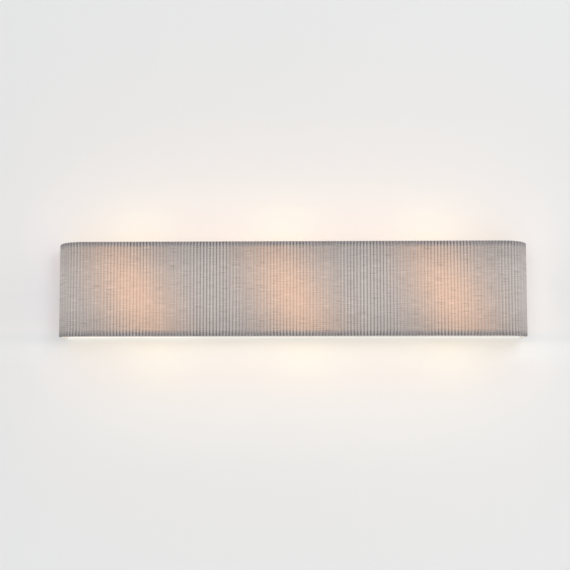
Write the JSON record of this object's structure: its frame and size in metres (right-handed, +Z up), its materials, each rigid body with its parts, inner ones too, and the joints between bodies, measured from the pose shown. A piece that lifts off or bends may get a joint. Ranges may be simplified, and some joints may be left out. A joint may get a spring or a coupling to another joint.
{
  "type": "fabric shade wall light",
  "caption": "Long low wall light with a pleated fabric shade, open above and below, with rounded upright corners and screw-cap lamps in a row.",
  "frame": {"origin": "middle of the wall face, halfway between the two wall screws", "axes": "+X along the wall, +Y into the wall, +Z up; the front of the shade faces -Y"},
  "size_m": [0.9, 0.1, 0.18],
  "materials": {
    "shade_fabric": "light grey slub linen weave, pleated",
    "hem_tape": "white edging tape, bonded",
    "liner_film": "translucent white film",
    "white_strip": "white powder coat",
    "nickel": "satin nickel plate",
    "white_plate": "white satin powder coat",
    "zinc_steel": "bright zinc plate",
    "rubber": "black moulded rubber",
    "connector_plastic": "pale grey moulded plastic",
    "white_plastic": "white moulded plastic",
    "bracket_steel": "zinc plated sheet",
    "holder_plastic": "white thermoset",
    "ceramic": "unglazed steatite",
    "brass": "bright brass strip",
    "bulb_glass": "frosted white glass",
    "cap_metal": "bare aluminium",
    "insulator": "black glass insulator with a soldered contact",
    "filament": "yellow coated filaments on a clear stem",
    "lead_sleeve": "woven glass-fibre sleeve, cores brown and blue"
  },
  "bodies": {
    "root": {"holder_nipples": "nickel", "holder_locknuts": "nickel", "back_plate": "white_plate", "screw_inserts": "zinc_steel", "locating_pins": "zinc_steel", "bracket_screws": "zinc_steel", "cradle_screw": "zinc_steel", "earth_terminal": "zinc_steel", "grommet": "rubber", "live_connector": "connector_plastic", "neutral_connector": "connector_plastic", "connector_cradle": "white_plastic", "lead_clips": "white_plastic", "bracket_left": "bracket_steel", "holder_body_left": "holder_plastic", "holder_core_left": "ceramic", "screw_shell_left": "brass", "centre_contact_left": "brass", "lead_left": "lead_sleeve", "bracket_middle": "bracket_steel", "holder_body_middle": "holder_plastic", "holder_core_middle": "ceramic", "screw_shell_middle": "brass", "centre_contact_middle": "brass", "lead_middle": "lead_sleeve", "bracket_right": "bracket_steel", "holder_body_right": "holder_plastic", "holder_core_right": "ceramic", "screw_shell_right": "brass", "centre_contact_right": "brass", "lead_right": "lead_sleeve"},
    "shade": {"pleated_fabric": "shade_fabric", "liner": "liner_film", "top_ring": "white_strip", "bottom_ring": "white_strip", "top_hem": "hem_tape", "bottom_hem": "hem_tape", "left_rail": "white_strip", "right_rail": "white_strip"},
    "left_thumb_screw": {"left_thumb_screw": "nickel"},
    "right_thumb_screw": {"right_thumb_screw": "nickel"},
    "left_lamp_contact": {"bulb_tip_left": "insulator"},
    "left_lamp": {"bulb_glass_left": "bulb_glass", "bulb_cap_left": "cap_metal", "filament_left": "filament"},
    "middle_lamp_contact": {"bulb_tip_middle": "insulator"},
    "middle_lamp": {"bulb_glass_middle": "bulb_glass", "bulb_cap_middle": "cap_metal", "filament_middle": "filament"},
    "right_lamp_contact": {"bulb_tip_right": "insulator"},
    "right_lamp": {"bulb_glass_right": "bulb_glass", "bulb_cap_right": "cap_metal", "filament_right": "filament"}
  },
  "joints": [
    {"name": "shade_off", "type": "slide", "parent": "root", "child": "shade", "axis": [0, -1, 0], "range_m": [0, 0.12]},
    {"name": "left_thumb_screw_turn", "type": "hinge", "parent": "shade", "child": "left_thumb_screw", "pos_m": [-0.4364, -0.015, 0], "axis": [0, -1, 0], "range_deg": [0, 1080]},
    {"name": "right_thumb_screw_turn", "type": "hinge", "parent": "shade", "child": "right_thumb_screw", "pos_m": [0.4364, -0.015, 0], "axis": [0, -1, 0], "range_deg": [0, 1080]},
    {"name": "left_lamp_travel", "type": "slide", "parent": "root", "child": "left_lamp_contact", "axis": [-0.9397, 0, -0.342], "range_m": [0, 0.02]},
    {"name": "left_lamp_turn", "type": "hinge", "parent": "left_lamp_contact", "child": "left_lamp", "pos_m": [-0.328, -0.05092, -0.003], "axis": [-0.9397, 0, -0.342], "range_deg": [0, 1980]},
    {"name": "middle_lamp_travel", "type": "slide", "parent": "root", "child": "middle_lamp_contact", "axis": [-0.9397, 0, -0.342], "range_m": [0, 0.02]},
    {"name": "middle_lamp_turn", "type": "hinge", "parent": "middle_lamp_contact", "child": "middle_lamp", "pos_m": [-0.018, -0.05092, -0.003], "axis": [-0.9397, 0, -0.342], "range_deg": [0, 1980]},
    {"name": "right_lamp_travel", "type": "slide", "parent": "root", "child": "right_lamp_contact", "axis": [-0.9397, 0, -0.342], "range_m": [0, 0.02]},
    {"name": "right_lamp_turn", "type": "hinge", "parent": "right_lamp_contact", "child": "right_lamp", "pos_m": [0.292, -0.05092, -0.003], "axis": [-0.9397, 0, -0.342], "range_deg": [0, 1980]}
  ],
  "couplings": [
    {"joint": "left_lamp_travel", "follows": "left_lamp_turn", "m_per_rad": 0.00057757},
    {"joint": "middle_lamp_travel", "follows": "middle_lamp_turn", "m_per_rad": 0.00057757},
    {"joint": "right_lamp_travel", "follows": "right_lamp_turn", "m_per_rad": 0.00057757}
  ]
}
